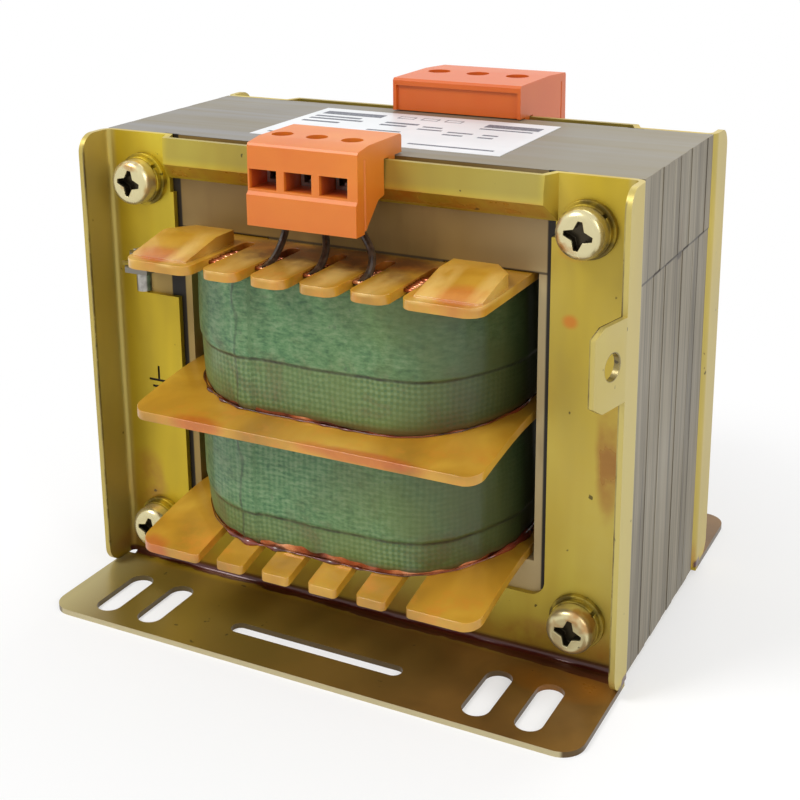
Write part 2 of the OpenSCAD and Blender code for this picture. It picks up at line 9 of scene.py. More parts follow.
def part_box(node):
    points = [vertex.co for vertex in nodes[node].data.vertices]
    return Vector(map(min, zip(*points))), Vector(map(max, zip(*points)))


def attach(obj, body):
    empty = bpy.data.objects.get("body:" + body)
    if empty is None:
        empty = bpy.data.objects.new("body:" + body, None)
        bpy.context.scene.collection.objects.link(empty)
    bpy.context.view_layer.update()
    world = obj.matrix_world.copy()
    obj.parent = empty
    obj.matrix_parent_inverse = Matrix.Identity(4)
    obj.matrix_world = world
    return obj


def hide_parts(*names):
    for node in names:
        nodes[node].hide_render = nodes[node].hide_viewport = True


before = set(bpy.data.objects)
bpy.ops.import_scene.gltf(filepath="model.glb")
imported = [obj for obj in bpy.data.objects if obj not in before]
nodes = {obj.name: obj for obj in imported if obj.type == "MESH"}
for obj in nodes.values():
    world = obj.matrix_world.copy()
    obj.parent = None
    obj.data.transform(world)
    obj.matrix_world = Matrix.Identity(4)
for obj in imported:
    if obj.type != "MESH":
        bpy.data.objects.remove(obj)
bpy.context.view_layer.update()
mm = 0.001
core = [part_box("e_laminations")[0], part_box("i_laminations")[1]]    # lowest and highest corner of the core
halfDepth = core[1].y
plateFace = -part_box("front_washers")[1].y / mm    # depth of the frames' outer faces, in mm
fingerPitch = 13.5 * mm    # spacing of the bobbin's fingers and of the slots between them
print("frame loaded,", len(nodes), "nodes")

cameraSet = {
    "azimuth": 27.07,     # degrees to the right of the front
    "elevation": 15.25,
    "roll": -0.47,
    "distance": 0.3794,
    "target": (-0.0016, 0.0, 0.0964),
    "lens": 63.06,        # for a sensor 36 mm wide
    "shiftY": -0.2,       # brings the uprights nearer to parallel
}


def newObject(name, data):
    obj = bpy.data.objects.new(name, data)
    bpy.context.scene.collection.objects.link(obj)
    return obj


def addCamera(s):
    # looks at the target from the given angles and distance, then rolls about its own axis
    a, e = math.radians(s["azimuth"]), math.radians(s["elevation"])
    back = Vector((math.sin(a) * math.cos(e), -math.cos(a) * math.cos(e), math.sin(e)))
    data = bpy.data.cameras.new("camera")
    data.lens, data.sensor_width, data.shift_y = s["lens"], 36, s["shiftY"]
    data.clip_start, data.clip_end = 0.01, 20
    cam = newObject("camera", data)
    turn = (-back).to_track_quat("-Z", "Y").to_matrix() @ Matrix.Rotation(math.radians(s["roll"]), 3, "Z")
    cam.location = Vector(s["target"]) + back * s["distance"]
    cam.rotation_euler = turn.to_euler()
    bpy.context.scene.camera = cam


addCamera(cameraSet)
print("camera placed")


def linear(colour):
    # sRGB hex to the linear values that shaders take; a plain number is a grey, linear already
    if not isinstance(colour, str):
        return (colour, colour, colour, 1.0)
    c = np.array([int(colour[i:i + 2], 16) / 255 for i in (1, 3, 5)])
    c = np.where(c <= 0.04045, c / 12.92, ((c + 0.055) / 1.055) ** 2.4)
    return (*c, 1.0)


def add(tree, kind, inputs=None, out=0, **settings):
    # adds a node; inputs are values, hex colours or the sockets that feed it, and out is the
    # output handed back, or None for all of them
    node = tree.nodes.new("ShaderNode" + kind)
    for key, value in settings.items():
        setattr(node, key, value)
    for key, value in (inputs or {}).items():
        if isinstance(value, bpy.types.NodeSocket):
            tree.links.new(value, node.inputs[key])
        else:
            node.inputs[key].default_value = linear(value) if isinstance(value, str) else value
    return node.outputs if out is None else node.outputs[out]


def newMaterial(name, sockets):
    # a material with the values that are the same all over it set on its shader
    mat = bpy.data.materials.new(name)
    mat.use_nodes = True
    tree = mat.node_tree
    shader = tree.nodes["Principled BSDF"]
    for key, value in sockets.items():
        shader.inputs[key].default_value = value
    return mat, tree, shader, add(tree, "TexCoord", out="Object")


def finishWith(tree, shader, colour, roughness=None, height=None, strength=0.3, depth=0.05):
    # feeds the shader: colour, roughness, and a bump that is depth millimetres deep
    tree.links.new(colour, shader.inputs["Base Color"])
    if roughness is not None:
        tree.links.new(roughness, shader.inputs["Roughness"])
    if height is not None:
        relief = add(tree, "Bump", {"Height": height, "Strength": strength, "Distance": depth * mm})
        tree.links.new(relief, shader.inputs["Normal"])


def noise(tree, place, sizeMm, detail, roughness=0.5, distortion=0.0):
    # noise whose blotches are about this many millimetres across
    return add(tree, "TexNoise", {"Vector": place, "Scale": 600 / sizeMm, "Detail": detail,
                                  "Roughness": roughness, "Distortion": distortion})


def ramp(tree, value, *stops):
    # the colours or greys that a value from 0 to 1 passes through, each given with its place
    colour = add(tree, "ValToRGB", {"Fac": value})
    band = colour.node.color_ramp.elements
    while len(band) < len(stops):
        band.new(0.5)
    for element, (at, shade) in zip(band, stops):
        element.position, element.color = at, linear(shade)
    return colour


def calc(tree, operation, *values):
    # one step of arithmetic; MULTIPLY_ADD is the first value times the second, plus the third
    return add(tree, "Math", dict(enumerate(values)), operation=operation)


def product(tree, *masks):
    # a place counts only as far as every mask lets it
    result = masks[0]
    for mask in masks[1:]:
        result = calc(tree, "MULTIPLY", result, mask)
    return result


def union(tree, *masks):
    # a place counts where any mask does
    result = masks[0]
    for mask in masks[1:]:
        result = calc(tree, "MAXIMUM", result, mask)
    return result


def zone(tree, value, low, high, soft):
    # 1 where a length lies between low and high millimetres, with a soft edge at both; 1000 and
    # -1000 are past everything
    low, high, soft = low * mm, high * mm, soft * mm
    rise = add(tree, "MapRange", {"Value": value, "From Min": low - soft, "From Max": low + soft},
               interpolation_type="SMOOTHSTEP")
    fall = add(tree, "MapRange", {"Value": value, "From Min": high + soft, "From Max": high - soft},
               interpolation_type="SMOOTHSTEP")
    return product(tree, rise, fall)


def region(tree, *limits):
    # 1 where every zone holds, each given as value, low, high and soft
    return product(tree, *[zone(tree, *limit) for limit in limits])


def coats(tree, under, layers):
    # coats of colour over each other, each as dense as its mask, times a share where one is given
    for mask, colour, *share in layers:
        mask = product(tree, mask, *share)
        under = add(tree, "Mix", {0: mask, 6: under, 7: colour}, out=2, data_type="RGBA")
    return under


def driedDrop(tree, place, centre, size, soft):
    # 1 inside a flat drop of varnish, 0 outside: distance from the centre over its radii in
    # millimetres, made ragged by noise
    moved = add(tree, "VectorMath", {0: place, 1: [c * mm for c in centre]}, operation="SUBTRACT")
    shaped = add(tree, "VectorMath", {0: moved, 1: [s * mm for s in size]}, operation="DIVIDE")
    away = add(tree, "VectorMath", {0: shaped}, out=1, operation="LENGTH")
    rag = noise(tree, place, 4, 4)
    away = calc(tree, "MULTIPLY_ADD", rag, 0.7, away)
    return add(tree, "MapRange", {"Value": away, "From Min": 1.35 + soft, "From Max": 1.35 - soft},
               interpolation_type="SMOOTHSTEP")


def driedDrops(tree, place, drops, soft=0.35):
    return union(tree, *[driedDrop(tree, place, centre, size, soft) for centre, size in drops])


zinc = {
    "light": "#D8C43C", "mid": "#C6AA26", "dark": "#A48C22", "khaki": "#BCAE74", "rail": "#8E8248",
    "foot": "#866230", "footDark": "#664A24", "footOlive": "#84702E", "footRimHighlight": "#BDB088",
    "amber": "#B0701E", "orange": "#CC7426", "brown": "#6B431A", "pool": "#4E1A16", "fleck": "#3A3018",
    "sign": "#241A12", "edge": "#4A3A1C", "steel": "#7E796E", "bright": "#DDD6B2",
    "ear": (82.61, 46.71, 87.75),    # outer face of the ears, their bores' |y| and z, in mm
    "bolts": (62.5, 64, 50),    # the bolts stand at x = +-62.5 and z = 64 +- 50, in millimetres
    # dried drops as centre and radii in millimetres
    "drops": [((-68, -30.5, 24), (6, 3, 10)), ((-58, -30.5, 8), (12, 3, 4)), ((52, -30.5, 6), (12, 3, 5)),
              ((69, -30.5, 60), (3, 3, 16)), ((-62, -31, 6), (14, 12, 4)), ((62, -40, 2), (12, 6, 3)),
              ((50, 30.5, 20), (16, 3, 10)), ((-62, 30.5, 70), (5, 3, 12)), ((20, 30.5, 9), (30, 3, 3))],
    "spots": [((58.5, -30.5, 91), (1.8, 3, 1.6)), ((-57, 30.5, 40), (2, 3, 2)),
              ((60, -33, 108), (4, 4, 2))],
    # where features lie, in millimetres: heights are z, depths |y| and widths |x|
    "footTop": 2.4, "footFrom": 33.5, "footRim": 65.6,    # top, first depth and outer edge of the feet
    "underRail": (115.5, 119.6), "railFrom": 120, "railFace": 30.9, "railHalf": 53,
    "lowPlate": ((2, 9), (28, 31)),    # heights and depths of the plate's foot
    "flangeFrom": 72,    # width at which the side flanges start
    "tab": ((53.5, 66), (84, 94.5), 31.6),    # widths, heights and depth of the earth tab
    "signBox": ((57, 66), (50, 63)),    # widths and heights of the earth sign
    "head": (3.9, 7.1, 3.2),    # radius of a bolt's recess, its mouth and floor from the plate
}


def yellowZinc(name, isFrame=False, isBolt=False):
    # yellow chromate over zinc-plated sheet: a soft khaki gold, half metal, with tall clouds and
    # flecks; on the frames dip varnish has dried in amber drops, brown on the feet, and in a dark
    # red-brown line along the bend; the bolts' heads are brighter, with their recesses painted dark as shade
    c = zinc
    mat, tree, shader, place = newMaterial(name, {"Roughness": 0.36, "Metallic": 0.8 if isBolt else 0.55})
    tall = add(tree, "Mapping", {"Vector": place, "Scale": (1, 1, 0.3)})
    cloud = noise(tree, tall, 17, 3, distortion=0.4)
    broad = noise(tree, tall, 34, 2)
    fine = noise(tree, place, 2.2, 4, roughness=0.6)
    dots = noise(tree, place, 2, 2)
    colour = ramp(tree, cloud, (0.32, c["dark"]), (0.5, c["mid"]), (0.64, c["light"]))
    worn = ramp(tree, broad, (0.5, 0.0), (0.7, 0.5))
    fleck = ramp(tree, dots, (0.735, 0.0), (0.76, 0.8))
    colour = coats(tree, colour, [(worn, c["khaki"]), (fine, c["mid"], 0.3)])
    wet = None
    if isFrame:
        x, y, z = add(tree, "SeparateXYZ", {0: place}, out=None)
        width = calc(tree, "ABSOLUTE", x)
        depth = calc(tree, "ABSOLUTE", y)
        facing = add(tree, "NewGeometry", out="Normal")
        upward = add(tree, "SeparateXYZ", {0: facing}, out=2)
        upward = calc(tree, "ABSOLUTE", upward)
        upright = zone(tree, upward, -1000, 500, 100)    # no length but a share, in thousandths
        patchy = noise(tree, place, 8, 4, roughness=0.6)
        patchy = ramp(tree, patchy, (0.36, 0.25), (0.62, 1.0))
        # feet: browner, paler at the left tip; their upright faces, the walls of the slots, painted dark as
        # shade, and the front cut edge painted pale as a highlight
        onFoot = region(tree, (z, -1000, c["footTop"], 0.8), (depth, c["footFrom"], 1000, 2))
        footTone = ramp(tree, cloud, (0.35, c["footDark"]), (0.62, c["foot"]))
        toLeft = add(tree, "MapRange", {"Value": x, "From Min": 0.04, "From Max": -0.04, "To Max": 0.9})
        tip = add(tree, "MapRange", {"Value": x, "From Min": -0.06, "From Max": -0.073, "To Max": 0.7})
        footTone = coats(tree, footTone, [
            (toLeft, c["footOlive"]), (tip, c["khaki"]), (upright, c["edge"], 0.8),
            (upright, c["footRimHighlight"], zone(tree, depth, c["footRim"], 1000, 0.2))])
        # amber where varnish stayed: under the rail, low on the plate and in the drops
        low, high = c["underRail"]
        underRail = region(tree, (z, low, high, 0.7), (depth, c["railFace"], 1000, 0.4),
                           (width, -1000, c["railHalf"], 1.5))
        (low, high), (front, back) = c["lowPlate"]
        lowPlate = region(tree, (z, low, high, 4), (depth, front, back, 0.6))
        drops = driedDrops(tree, place, c["drops"])
        amber = product(tree, union(tree, drops, product(tree, lowPlate, 0.7)), patchy, 0.8)
        amber = union(tree, amber, product(tree, underRail, patchy))
        spots = driedDrops(tree, place, c["spots"], 0.5)
        rail = region(tree, (z, c["railFrom"], 1000, 2), (width, -1000, c["railHalf"], 2))
        # dark brown along the rims of the ears, partly varnish and partly the painted shadow of the gap
        # behind them, and round their bores
        across = add(tree, "CombineXYZ", {0: width, 1: depth})
        across = add(tree, "VectorMath", {0: across, 1: (0.978, 0.208, 0)}, out=1, operation="DOT_PRODUCT")
        face = c["ear"][0]
        rim = region(tree, (across, face - 2.6, face - 1.15, 0.15),
                     (depth, 40.4, 1000, 0.3), (z, 8, 1000, 1))
        offY = calc(tree, "SUBTRACT", depth, c["ear"][1] * mm)
        offZ = calc(tree, "SUBTRACT", z, c["ear"][2] * mm)
        ring = add(tree, "CombineXYZ", {1: offY, 2: offZ})
        ring = add(tree, "VectorMath", {0: ring}, out=1, operation="LENGTH")
        ring = region(tree, (ring, 2.4, 3.45, 0.15), (width, 70, 1000, 1))
        edge = product(tree, union(tree, rim, ring), patchy)
        # the earth tab painted grey: painted shade from the bobbin's ear above it
        (near, far), (low, high), front = c["tab"]
        tab = region(tree, (width, near, far, 0.3), (z, low, high, 1), (depth, front, 1000, 0.4))
        # dark line of varnish in the bend, with a ragged front edge
        long = add(tree, "Mapping", {"Vector": place, "Scale": (0.3, 1, 1)})
        rag = noise(tree, long, 5, 4, roughness=0.6)
        thick = calc(tree, "MULTIPLY_ADD", rag, 6.5 * mm, 30.2 * mm)
        thick = calc(tree, "MULTIPLY_ADD", x, 0.02, thick)
        thick = calc(tree, "SUBTRACT", depth, thick)
        line = region(tree, (z, 1, 3.6, 0.7), (thick, -1000, 0, 0.5), (depth, 30.2, 1000, 0.5))
        # the side flanges painted half-way to pale khaki: painted light on their faces
        flange = region(tree, (width, c["flangeFrom"], 1000, 0.8), (z, 4, 1000, 2))
        (near, far), (low, high) = c["signBox"]
        sign = region(tree, (depth, plateFace - 0.5, plateFace - 0.15, 0.05),
                      (width, near, far, 0.2), (z, low, high, 0.2))
        colour = coats(tree, colour, [
            (onFoot, footTone), (rail, c["rail"], 0.6), (flange, c["khaki"], 0.5),
            (amber, c["amber"]), (spots, c["orange"], 0.8),
            (product(tree, drops, patchy, rag), c["brown"], 0.5), (line, c["pool"]),
            (tab, c["steel"]), (edge, c["edge"], 0.9), (sign, c["sign"])])
        wet = union(tree, amber, line, edge, product(tree, onFoot, 0.5))
        dull = add(tree, "Mix", {0: wet, 2: 0.55, 3: 0.15}, data_type="FLOAT")
        tree.links.new(dull, shader.inputs["Metallic"])
    if isBolt:
        x, y, z = add(tree, "SeparateXYZ", {0: place}, out=None)
        offX = calc(tree, "ABSOLUTE", x)
        offX = calc(tree, "SUBTRACT", offX, c["bolts"][0] * mm)
        offZ = calc(tree, "SUBTRACT", z, c["bolts"][1] * mm)
        offZ = calc(tree, "ABSOLUTE", offZ)
        offZ = calc(tree, "SUBTRACT", offZ, c["bolts"][2] * mm)
        offAxis = add(tree, "CombineXYZ", {0: offX, 2: offZ})
        offAxis = add(tree, "VectorMath", {0: offAxis}, out=1, operation="LENGTH")
        radius, mouth, floor = c["head"]
        # the recess in each bolt's head, painted dark as shade
        recessShade = region(tree, (offAxis, -1000, radius, 0.1),
                        (y, -plateFace - mouth, -plateFace - floor, 0.25))
        dried = noise(tree, place, 4, 3)
        dried = ramp(tree, dried, (0.56, 0.0), (0.68, 0.7))
        onHead = zone(tree, y, -1000, -plateFace - floor, 0.3)
        colour = coats(tree, colour, [(onHead, c["bright"], 0.75), (dried, c["amber"]),
                                      (recessShade, c["sign"], 0.95)])
    elif not isFrame:
        rag = noise(tree, place, 3, 3)
        rag = ramp(tree, rag, (0.44, 0.15), (0.6, 0.8))
        colour = coats(tree, colour, [(rag, c["edge"])])
    colour = coats(tree, colour, [(fleck, c["fleck"])])
    smooth, dim = (0.16, 0.4) if isBolt else (0.3, 0.5)
    rough = add(tree, "MapRange", {"Value": cloud, "To Min": smooth, "To Max": dim})
    if wet is not None:
        rough = add(tree, "Mix", {0: wet, 2: rough, 3: 0.2}, data_type="FLOAT")
    relief = calc(tree, "ADD", fine, cloud)
    finishWith(tree, shader, colour, rough, relief, 0.25, 0.05)
    return mat


stack = {
    "line": "#453F31", "sheet": "#6F6654", "bright": "#8D8470", "topGrey": "#868482",
    "topWarm": "#7C7258", "face": "#AC9050", "faceDark": "#826A38", "faceLitRight": "#C8B68A",
    "varnish": "#70512A", "seam": "#2E241A", "gap": "#1E1710",
    "frameEdge": 53.5,    # where the frames' windows end, mm from the middle
    "joint": (101.2, 101.8),    # heights of the joint between the E and the I sheets, in mm
    "dampFrom": 100,    # height in mm from which the faces are darker with varnish
}


def siliconSteelStack():
    # silicon steel sheets seen on their cut edges: fine lines along the stack, drawn about 1 mm
    # apart because the real 0.5 mm is too fine to show; thin varnish turns the grey warm, and is
    # amber on the front and rear faces
    c = stack
    mat, tree, shader, place = newMaterial("siliconSteelStack", {"Metallic": 0.25})
    x, y, z = add(tree, "SeparateXYZ", {0: place}, out=None)
    width = calc(tree, "ABSOLUTE", x)
    depth = calc(tree, "ABSOLUTE", y)
    layers = add(tree, "Mapping", {"Vector": place, "Scale": (0.02, 1, 0.025)})
    fine = noise(tree, layers, 1.0, 3, roughness=0.65)
    broad = noise(tree, layers, 5, 2)
    cloud = noise(tree, place, 20, 3)
    lines = calc(tree, "MULTIPLY_ADD", fine, 0.6, product(tree, broad, 0.4))
    side = ramp(tree, lines, (0.36, c["line"]), (0.46, c["sheet"]), (0.62, c["bright"]))
    onTop = zone(tree, z, core[1].z / mm - 0.12, 1000, 0.05)
    onSide = zone(tree, width, core[1].x / mm - 0.4, 1000, 0.1)
    below = calc(tree, "SUBTRACT", 1.0, onTop)
    along = add(tree, "Mapping", {"Vector": place, "Scale": (0.05, 1, 1)})
    streak = noise(tree, along, 3, 3)
    top = ramp(tree, streak, (0.3, c["topWarm"]), (0.7, c["topGrey"]))
    warm = add(tree, "MapRange", {"Value": x, "From Min": -0.03, "From Max": 0.06, "To Max": 0.6})
    top = coats(tree, top, [(warm, c["topWarm"])])
    face = ramp(tree, cloud, (0.34, c["faceDark"]), (0.64, c["face"]))
    # the faces paler towards the right: painted light
    litToRight = add(tree, "MapRange", {"Value": x, "From Min": 0.03, "From Max": 0.052, "To Max": 0.8})
    face = coats(tree, face, [(litToRight, c["faceLitRight"])])
    high = zone(tree, z, c["dampFrom"], 1000, 6)
    runs = add(tree, "Mapping", {"Vector": place, "Scale": (1, 1, 0.25)})
    runs = noise(tree, runs, 8, 4, roughness=0.6)
    runs = ramp(tree, runs, (0.55, 0.0), (0.75, 0.5))
    # a dark line on the faces where the frames' windows end: the painted shadow of the frames, which stand
    # proud, with varnish pooled there
    edge = c["frameEdge"]
    pool = region(tree, (width, edge - 1.5, edge + 3, 0.25), (depth, halfDepth / mm - 0.6, 1000, 0.1))
    seam = product(tree, zone(tree, z, *c["joint"], 0.15), below)
    drop = driedDrop(tree, place, (75, 2, 101), (2, 2.2, 1), 0.4)
    colour = coats(tree, face, [
        (high, c["varnish"], 0.45), (onSide, side, below), (onTop, top), (runs, c["varnish"], below),
        (seam, c["seam"], 0.8), (pool, c["gap"]), (drop, c["seam"], 0.7)])
    rough = add(tree, "MapRange", {"Value": cloud, "To Min": 0.34, "To Max": 0.58})
    relief = product(tree, lines, union(tree, onSide, product(tree, onTop, 0.3)))
    finishWith(tree, shader, colour, rough, relief, 0.4, 0.15)
    return mat


nylon = {
    "pale": "#D8A83A", "base": "#C28E26", "deep": "#A2741C", "crestHighlight": "#E2BC6C", "orange": "#B8431A",
    "amber": "#D4822A", "dark": "#5E2E14",
    "inside": 38, "outside": 50,    # depths in mm up to which it is deeper, from which wetter
    "crestHighlightAt": (100.6, 42),    # height and depth from which the fingers' crests are painted pale, a painted highlight
    "shadeUnderBlocks": (92, 48, 26),    # height from, and depth and width up to which it is painted dark, the painted shade under the terminal blocks
    # where varnish has run along edges, as centre and radii in millimetres
    "runs": [((-28, -60.5, 60.5), (7, 3, 2.6)), ((18, -60.5, 61), (16, 2, 2.2)), ((42, -56, 102), (6, 5, 5)),
             ((-40, -56, 102), (7, 4, 5)), ((30, 60.5, 60), (18, 3, 3)), ((-24, 60.5, 22), (16, 3, 3)),
             ((-44, -60, 22), (5, 4, 4)), ((0, -36, 101), (30, 5, 4))],
}


def varnishedNylon():
    # glass-filled nylon, moulded, under clear varnish: warm amber, slightly clear, wavy and
    # glossy, with orange where the varnish ran along its edges
    c = nylon
    mat, tree, shader, place = newMaterial("varnishedNylon", {
        "Roughness": 0.32, "Coat Weight": 0.35, "Coat Roughness": 0.12, "Subsurface Weight": 0.1,
        "Subsurface Scale": 2 * mm, "Subsurface Radius": (1.0, 0.5, 0.2)})
    x, y, z = add(tree, "SeparateXYZ", {0: place}, out=None)
    depth = calc(tree, "ABSOLUTE", y)
    cloud = noise(tree, place, 12, 3, distortion=0.5)
    flow = add(tree, "Mapping", {"Vector": place, "Scale": (1, 0.35, 1)})
    streak = noise(tree, flow, 4, 4, roughness=0.6)
    patch = noise(tree, place, 6, 4, roughness=0.65)
    colour = ramp(tree, cloud, (0.32, c["deep"]), (0.5, c["base"]), (0.68, c["pale"]))
    runs = driedDrops(tree, place, c["runs"], 0.4)
    bits = ramp(tree, patch, (0.5, 0.0), (0.72, 0.7))
    inside = zone(tree, depth, -1000, c["inside"], 5)
    shadeUnderBlocks = ramp(tree, patch, (0.36, 0.1), (0.6, 0.9))
    # pale crests along the middle of each finger: a painted highlight
    ridge = calc(tree, "MULTIPLY", x, math.pi / fingerPitch)
    ridge = calc(tree, "SINE", ridge)
    ridge = calc(tree, "ABSOLUTE", ridge)
    ridge = add(tree, "MapRange", {"Value": ridge, "From Min": 0.55, "From Max": 1.0})
    low, near = c["crestHighlightAt"]
    broken = ramp(tree, streak, (0.38, 0.1), (0.6, 0.8))
    crestHighlight = region(tree, (z, low, 1000, 0.4), (depth, near, 1000, 4))
    crestHighlight = product(tree, crestHighlight, ridge, broken)
    # dark brown on top of the bobbin under the terminal blocks: painted shade
    width = calc(tree, "ABSOLUTE", x)
    low, deep, wide = c["shadeUnderBlocks"]
    shadedUnderBlocks = region(tree, (z, low, 1000, 3), (depth, -1000, deep, 5), (width, -1000, wide, 6))
    outside = zone(tree, depth, c["outside"], 1000, 6)
    colour = coats(tree, colour, [
        (streak, c["deep"], 0.35), (runs, c["orange"], union(tree, bits, 0.6)),
        (bits, c["amber"], outside), (crestHighlight, c["crestHighlight"]), (inside, c["deep"], 0.35),
        (shadedUnderBlocks, c["dark"], shadeUnderBlocks)])
    relief = calc(tree, "ADD", streak, cloud)
    finishWith(tree, shader, colour, None, relief, 0.4, 0.25)
    return mat


tape = {
    "green": "#4E7A48", "pale": "#7F9A6E", "deep": "#285A32", "olive": "#62702C", "dark": "#181F08",
    "brown": "#5E4420", "crease": "#161C12",
    "thread": 1.5,          # thread spacing in mm
    "skin": 0.12 * mm,      # how far the outline that is wrapped stands proud of the solid
    "waves": 0.28 * mm,     # height of the slow waves in the wrapping
    "lap": 0.5 * mm,        # step where the upper turn of tape covers the lower one
    "bulge": 0.5 * mm,      # how far the middle of a winding stands out
    "sunk": 0.55 * mm,      # how far the whole wrapping is set back, so that it bulges to the solid
    "tuck": 0.5 * mm,       # how far both edges turn in
    "inner": 2.2 * mm,      # depth of the band, which is closed on its inner side
    "steps": 560,
    "rows": 72,
    "corner": 29 * mm,
    "seam": 0.985,          # share of the way round at which the wrapping ends
    # brown soaked places, as centre and radii in millimetres
    "soaked": [((-45, -43, 88), (4, 8, 8)), ((8, -52, 20), (20, 6, 6)), ((30, -48, 19), (12, 8, 5)),
               ((34, -46, 62), (12, 8, 6)), ((40, 44, 78), (10, 9, 12)), ((-20, 51, 22), (22, 6, 6))],
}


def wovenGlassTape(name, lapAt, openness, seamAt):
    # woven glass tape, dip varnished: green, olive to brown where it soaked up more; below the
    # lap the weave stands open, with dark holes between threads drawn 1.5 mm apart so that they
    # show, and above it the varnish has filled it to faint thread lines
    c = tape
    mat, tree, shader, place = newMaterial(name, {"Coat Weight": 0.25, "Coat Roughness": 0.25})
    cloth = add(tree, "UVMap", uv_map="cloth")
    u = add(tree, "SeparateXYZ", {0: cloth}, out=0)
    v = add(tree, "SeparateXYZ", {0: cloth}, out=1)
    x = add(tree, "SeparateXYZ", {0: place})
    threads = []
    wobble = noise(tree, cloth, 5, 2)
    for along in (u, v):
        along = calc(tree, "MULTIPLY_ADD", wobble, 1.6 * mm, along)
        turn = calc(tree, "MULTIPLY", along, math.pi / (c["thread"] * mm))
        wave = calc(tree, "SINE", turn)
        threads.append(calc(tree, "ABSOLUTE", wave))
    wavy = calc(tree, "MULTIPLY_ADD", wobble, 5 * mm, u)
    wavy = calc(tree, "SUBTRACT", wavy, 2.5 * mm)
    weave = union(tree, *threads)
    holes = add(tree, "MapRange", {"Value": weave, "From Min": 0.78, "From Max": 0.5})
    cloud = noise(tree, place, 14, 4, roughness=0.6)
    mottle = noise(tree, place, 2.6, 4, roughness=0.7)
    yarn = add(tree, "Mapping", {"Vector": cloth, "Scale": (0.45, 1, 1)})
    yarn = noise(tree, yarn, 0.7, 3, roughness=0.7)
    tone = calc(tree, "MULTIPLY_ADD", mottle, 0.35, product(tree, yarn, 0.65))
    colour = ramp(tree, tone, (0.36, c["deep"]), (0.48, c["green"]), (0.7, c["pale"]))
    below = zone(tree, v, -1000, lapAt, 0.4)
    filled = ramp(tree, cloud, (0.36, 1.0), (0.62, 0.35))
    stands = product(tree, filled, union(tree, below, openness))
    # pale on the crowns of the threads where the weave stands: a painted highlight
    threadHighlights = product(tree, add(tree, "MapRange", {"Value": product(tree, *threads), "From Min": 0.45,
                                                  "From Max": 0.9}), stands)
    # olive towards the right: partly varnish stain, partly painted shade between the winding and the core
    stainAndShadeToRight = add(tree, "MapRange", {"Value": x, "From Min": -0.012, "From Max": 0.04},
                  interpolation_type="SMOOTHSTEP")
    olive = add(tree, "MapRange", {"Value": cloud, "From Min": 0.25, "From Max": 0.6})
    olive = product(tree, stainAndShadeToRight, olive)
    # dark towards the right corner: painted shade between the winding, the core and the frames
    corner = add(tree, "MapRange", {"Value": x, "From Min": 0.02, "From Max": 0.045, "To Max": 0.85})
    grime = noise(tree, place, 9, 5, roughness=0.7, distortion=0.6)
    grime = ramp(tree, grime, (0.5, 0.0), (0.66, 0.7))
    grime = product(tree, grime, union(tree, zone(tree, v, -1000, lapAt + 3, 3), 0.35))
    soaked = driedDrops(tree, place, c["soaked"], 0.6)
    # a dark line along the lap and along the seam: the painted shadow of the tape's edge
    crease = product(tree, union(tree, zone(tree, v, lapAt - 0.7, lapAt + 0.2, 0.3),
                                 product(tree, zone(tree, wavy, seamAt, seamAt + 0.9, 0.3), 0.8)),
                     ramp(tree, mottle, (0.36, 1.0), (0.6, 0.5)))
    foot = zone(tree, v, -1000, 1.5, 1.2)
    spots = ramp(tree, mottle, (0.64, 0.0), (0.74, 0.5))
    colour = coats(tree, colour, [
        (below, c["olive"], 0.6), (olive, c["olive"], 0.85), (threadHighlights, c["pale"], 0.5),
        (soaked, c["brown"], 0.6), (grime, c["brown"], 0.7),
        (product(tree, holes, stands), c["deep"], 0.6), (corner, c["dark"]),
        (spots, c["crease"]), (crease, c["crease"], 0.9), (foot, c["brown"], 0.7)])
    rough = add(tree, "MapRange", {"Value": cloud, "To Min": 0.34, "To Max": 0.6})
    relief = calc(tree, "ADD", product(tree, weave, stands, 0.8), tone)
    finishWith(tree, shader, colour, rough, relief, 0.5, 0.14)
    return mat


def enamelledCopper():
    # copper wire under brown enamel: dark orange metal, mottled by noise up to pale patches that are painted
    # highlights
    mat, tree, shader, place = newMaterial("enamelledCopper", {
        "Roughness": 0.26, "Metallic": 0.8, "Coat Weight": 0.5, "Coat Roughness": 0.1})
    cloud = noise(tree, place, 5, 4)
    colour = ramp(tree, cloud, (0.35, "#5A2410"), (0.5, "#B05A30"), (0.66, "#F0A878"))
    finishWith(tree, shader, colour, None, cloud, 0.2, 0.1)
    return mat


def redVarnish():
    # insulating varnish dried in a thick bead: clear red-brown, glossy
    mat, tree, shader, place = newMaterial("driedVarnish", {
        "Roughness": 0.12, "Coat Weight": 0.6, "Coat Roughness": 0.05, "Subsurface Weight": 0.2,
        "Subsurface Scale": 1 * mm, "Subsurface Radius": (1.0, 0.3, 0.15)})
    cloud = noise(tree, place, 7, 4)
    colour = ramp(tree, cloud, (0.35, "#2E110C"), (0.5, "#5E2016"), (0.7, "#8E3E28"))
    finishWith(tree, shader, colour, None, cloud, 0.4, 0.3)
    return mat


moulded = {
    "low": "#D46E1C", "high": "#DE8026", "shade": "#A83C14", "rear": "#D0520E",
    "rearFrom": 12,    # y in mm from which the rear block lies
    "entries": ((-18.4, 10.6), (-47.6, -31), (117.5, 126.5)),    # x, y and z of the wire entries
}


